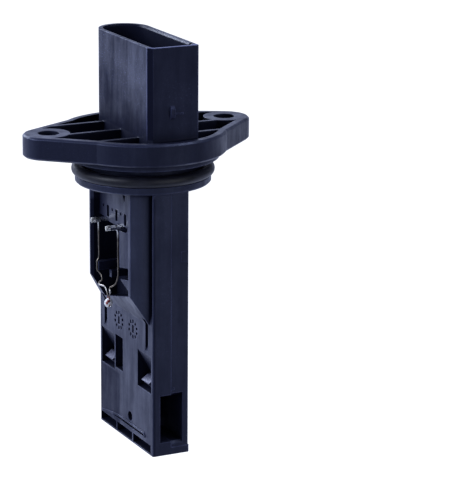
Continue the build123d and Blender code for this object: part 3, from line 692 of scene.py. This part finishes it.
# ---- studio ----
def paper_look():
    """White to the camera and through glass, cool white in gloss, lit as grey card otherwise."""
    made, g, both = material("paper_sweep", "ShaderNodeAddShader")
    diffuse = g.node("ShaderNodeBsdfDiffuse")
    fill(diffuse, Color=PAPER)
    glow = g.node("ShaderNodeEmission")
    path = g.node("ShaderNodeLightPath").outputs
    seen = g.largest(path["Is Camera Ray"], path["Is Transmission Ray"])
    x, y, _ = g.split(g.coords())
    gloss = g.product(path["Is Glossy Ray"], g.ramp(g.sum(y, x), *FLAG))
    g.link(g.mix(path["Is Glossy Ray"], WHITE, COOL_WHITE), glow.inputs["Color"])
    g.link(g.largest(g.product(seen, PAPER_GLOW), g.product(gloss, GLOSS_GLOW)),
           glow.inputs["Strength"])
    g.link(diffuse.outputs[0], both.inputs[0])
    g.link(glow.outputs[0], both.inputs[1])
    return made


def smooth_object(name, mesh, look):
    """Smooth object from a bmesh, with one material."""
    data = bpy.data.meshes.new(name)
    mesh.to_mesh(data)
    mesh.free()
    for face in data.polygons:
        face.use_smooth = True
    data.materials.append(look)
    obj = bpy.data.objects.new(name, data)
    bpy.context.scene.collection.objects.link(obj)
    return obj


def paper_sweep():
    """Floor that curves up into a backdrop behind the object."""
    profile = [(SWEEP_FRONT, FLOOR_Z), (SWEEP_BACK - COVE, FLOOR_Z)]
    for k in range(1, COVE_STEPS + 1):
        a = math.radians(90 * k / COVE_STEPS)
        profile.append((SWEEP_BACK - COVE + COVE * math.sin(a), FLOOR_Z + COVE * (1 - math.cos(a))))
    profile.append((SWEEP_BACK, SWEEP_TOP))
    mesh = bmesh.new()
    rows = [[mesh.verts.new((x, y, z)) for x in (-SWEEP_HALF, SWEEP_HALF)] for y, z in profile]
    for low, high in zip(rows, rows[1:]):
        mesh.faces.new((low[0], low[1], high[1], high[0]))
    smooth_object("paper_sweep", mesh, paper_look())


def world_light():
    """Even surround: white to the camera and through glass, dim and cool as light."""
    world = bpy.data.worlds.new("surround")
    bpy.context.scene.world = world
    world.use_nodes = True
    g = Graph(world.node_tree)
    path = g.node("ShaderNodeLightPath").outputs
    back = g.node("ShaderNodeBackground")
    seen = g.largest(path["Is Camera Ray"], path["Is Transmission Ray"])
    g.link(g.mix(seen, COOL_WHITE, WHITE), back.inputs["Color"])
    g.link(g.largest(seen, SURROUND), back.inputs["Strength"])
    g.link(back.outputs[0], g.node("ShaderNodeOutputWorld").inputs["Surface"])


def lamp(name, position, size, power, colour):
    """Rectangular area light that looks at the object."""
    data = bpy.data.lights.new(name, "AREA")
    data.shape = "RECTANGLE"
    data.size, data.size_y = size
    data.energy = power
    data.color = colour
    obj = bpy.data.objects.new(name, data)
    obj.location = position
    obj.rotation_euler = (Vector(AIM) - Vector(position)).to_track_quat("-Z", "Y").to_euler()
    bpy.context.scene.collection.objects.link(obj)


def studio():
    """Key from the bead side, rim and overhead softboxes behind, and weak ones from the front."""
    paper_sweep()
    world_light()
    for row in LAMPS:
        lamp(*row)


def camera():
    """Camera at the place and turn fitted to the photograph."""
    data = bpy.data.cameras.new("camera")
    data.sensor_fit = "AUTO"
    data.sensor_width = SENSOR_WIDTH
    data.lens = FOCAL_PIXELS * SENSOR_WIDTH / IMAGE_HEIGHT
    data.shift_y = LENS_RISE
    data.clip_start = CLIP_START
    data.clip_end = CLIP_END
    forward = CAMERA_FORWARD.normalized()
    right = forward.cross(CAMERA_UP).normalized()
    up = right.cross(forward)
    turn = Matrix((right, up, -forward)).transposed().to_4x4()
    obj = bpy.data.objects.new("camera", data)
    obj.matrix_world = Matrix.Translation(CAMERA_POSITION) @ turn
    bpy.context.scene.collection.objects.link(obj)
    bpy.context.scene.camera = obj


# ---- pieces ----
def finished(mesh, name, look, stands_for):
    """Smooth object from a bmesh: rides on the one body and replaces the named solid."""
    bmesh.ops.recalc_face_normals(mesh, faces=mesh.faces)
    obj = smooth_object(name, mesh, look)
    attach(obj, "root")
    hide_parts(stands_for)
    return obj


def skin(mesh, rings, closed=False):
    """Quads between neighbouring rings of vertices, with end caps unless the rings close up."""
    pairs = list(zip(rings, rings[1:])) + ([(rings[-1], rings[0])] if closed else [])
    for a, b in pairs:
        for k in range(len(a)):
            m = (k + 1) % len(a)
            mesh.faces.new((a[k], a[m], b[m], b[k]))
    if not closed:
        mesh.faces.new(rings[0][::-1])
        mesh.faces.new(rings[-1])


def turns(count):
    """Angles of a full turn in equal steps."""
    return [2 * math.pi * k / count for k in range(count)]


def seal_ring(look):
    """Round seal in its groove, with the faint moulding line on its outside."""
    mesh = bmesh.new()
    rings = []
    for turn in turns(SEAL_STEPS):
        ring = []
        for side, a in enumerate(turns(SEAL_SIDES)):
            section = SEAL_SECTION_R * (1.0 - (FLASH_SINK if side in FLASH_SIDES else 0.0))
            r = SEAL_R + section * math.cos(a)
            z = SEAL_Z + section * math.sin(a)
            ring.append(mesh.verts.new((r * math.cos(turn), r * math.sin(turn), z)))
        rings.append(ring)
    skin(mesh, rings, closed=True)
    return finished(mesh, "seal_ring", look, "o_ring")


def rounded(points, reach):
    """The run with each bend drawn as a curve that starts and ends within reach of its corner."""
    out = [points[0]]
    for a, b, c in zip(points, points[1:], points[2:]):
        start = b + (a - b).normalized() * min(reach, BEND_SHARE * (a - b).length)
        end = b + (c - b).normalized() * min(reach, BEND_SHARE * (c - b).length)
        for k in range(BEND_STEPS + 1):
            t = k / BEND_STEPS
            out.append(start * (1 - t) ** 2 + b * 2 * t * (1 - t) + end * t * t)
    out.append(points[-1])
    return out


def tube(mesh, points, radii):
    """Round tube along points, its frame carried along without twist."""
    across = (points[1] - points[0]).orthogonal().normalized()
    rings = []
    for k, (point, r) in enumerate(zip(points, radii)):
        ahead = points[min(k + 1, len(points) - 1)] - points[max(k - 1, 0)]
        ahead.normalize()
        across = (across - ahead * across.dot(ahead)).normalized()
        other = ahead.cross(across)
        rings.append([mesh.verts.new(point + (across * math.cos(a) + other * math.sin(a)) * r)
                      for a in turns(WIRE_SIDES)])
    skin(mesh, rings)


def bead_wire(name, run, weld, look, node):
    """Bent wire: hooked over its terminal's tip, then along its run into the glass.

    It thickens at its weld, and is drawn thinner from there into the glass.
    """
    run = [Vector(p) * MM for p in run]
    weld = Vector(weld) * MM
    y = run[0].y
    front, top = TAB_TIP - WIRE_R, TAB_TOP + WIRE_R
    hook = [Vector((HOOK_BACK, y, top)), Vector((front, y, top)),
            Vector((front, y, TAB_UNDER - WIRE_R))]
    points = rounded(hook + run[:2], HOOK_BEND)[:-1] + rounded(run, WIRE_BEND)[1:]
    radii = []
    for point in points:
        swell = WELD_SWELL * math.exp(-((point - weld).length / WELD_REACH) ** 2)
        radii.append(WIRE_R * ((1.0 if point.z > weld.z else WIRE_DRAWN) + swell))
    mesh = bmesh.new()
    tube(mesh, points, radii)
    return finished(mesh, name, look, node)


def glass_drop(look):
    """Fused glass drop, drawn up a little where the wires enter."""
    mesh = bmesh.new()
    rings = []
    for k in range(1, BEAD_STEPS):
        a = math.pi * k / BEAD_STEPS
        z = -BEAD_R * math.cos(a)
        rise = max(0.0, z / BEAD_R)
        r = BEAD_R * math.sin(a) + NECK_SWELL * BEAD_R * rise ** 3 * math.sin(a)
        z *= 1 + NECK_RISE * rise ** 6
        rings.append([mesh.verts.new(BEAD + Vector((r * math.cos(turn), r * math.sin(turn), z)))
                      for turn in turns(BEAD_SIDES)])
    skin(mesh, rings)
    return finished(mesh, "glass_drop", look, "bead_glass")


def bead_element(look):
    """Sensing element at the face of the drop, with the small spot below it."""
    toward = -CAMERA_FORWARD.normalized()
    right = CAMERA_FORWARD.cross(CAMERA_UP).normalized()
    up = toward.cross(right)
    mesh = bmesh.new()
    for place, size in ELEMENT:
        lump = bmesh.ops.create_icosphere(mesh, subdivisions=LUMP_SPLITS, radius=1.0)["verts"]
        centre = BEAD + (right * place[0] + up * place[1] + toward * place[2]) * MM
        for vert in lump:
            uneven = noise.noise(vert.co * LUMP_SCALE + Vector(place) * LUMP_SHIFT)
            p = vert.co * (1 + LUMP_ROUGH * uneven)
            across = p.x * size[0] + p.y * size[1] * LUMP_LEAN
            vert.co = centre + (right * across + up * p.y * size[1] + toward * p.z * size[2]) * MM
    return finished(mesh, "bead_element", look, "bead_core")


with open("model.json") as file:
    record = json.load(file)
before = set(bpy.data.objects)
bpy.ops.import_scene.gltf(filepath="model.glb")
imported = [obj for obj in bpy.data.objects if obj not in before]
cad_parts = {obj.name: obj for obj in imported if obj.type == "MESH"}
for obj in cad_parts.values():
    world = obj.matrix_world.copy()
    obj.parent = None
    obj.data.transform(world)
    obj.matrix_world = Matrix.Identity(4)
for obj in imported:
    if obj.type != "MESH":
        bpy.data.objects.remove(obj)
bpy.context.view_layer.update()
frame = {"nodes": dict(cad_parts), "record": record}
bpy.context.scene.view_settings.view_transform = "Standard"
looks = all_materials()
dress_nodes(frame, looks)
seal_ring(looks["seal_rubber"])
bead_wire("left_wire", LEFT_RUN, LEFT_WELD, looks["wire_metal"], "bead_wire_left")
bead_wire("right_wire", RIGHT_RUN, RIGHT_WELD, looks["wire_metal"], "bead_wire_right")
glass_drop(looks["bead_glass"])
bead_element(looks["bead_core"])
studio()
camera()
